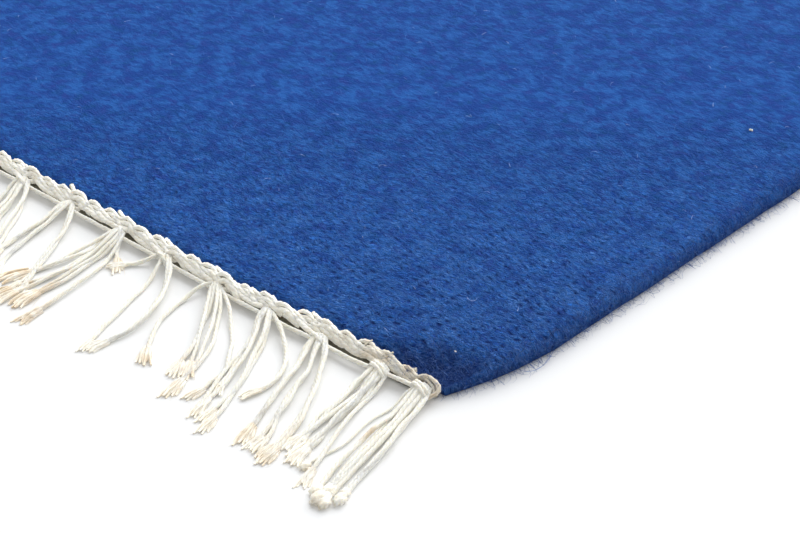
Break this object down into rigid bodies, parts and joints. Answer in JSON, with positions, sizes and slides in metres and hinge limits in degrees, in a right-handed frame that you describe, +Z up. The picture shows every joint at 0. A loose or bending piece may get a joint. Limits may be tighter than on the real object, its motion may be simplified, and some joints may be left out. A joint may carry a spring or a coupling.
{
  "type": "kilim rug",
  "caption": "Flat-woven plain blue wool rug with plaited ends and a knotted cream cotton fringe at each end, lying flat.",
  "frame": {"origin": "on the floor under the middle of the rug, fringes included", "axes": "+Y along the rug's length from fringe to fringe, +X across it from selvedge to selvedge, +Z up out of the face of the cloth"},
  "size_m": [0.6094, 0.9942, 0.0049],
  "materials": {
    "wool_field": "matte weft-faced wool, felted and slightly hairy",
    "end_braid": "matte plaited cotton cord",
    "cotton_fringe": "matte twisted cotton cord, frayed at the tips"
  },
  "bodies": {
    "root": {"rug_field": "wool_field", "end_braid_front": "end_braid", "end_braid_back": "end_braid", "fringe_front": "cotton_fringe", "fringe_back": "cotton_fringe"}
  },
  "joints": []
}
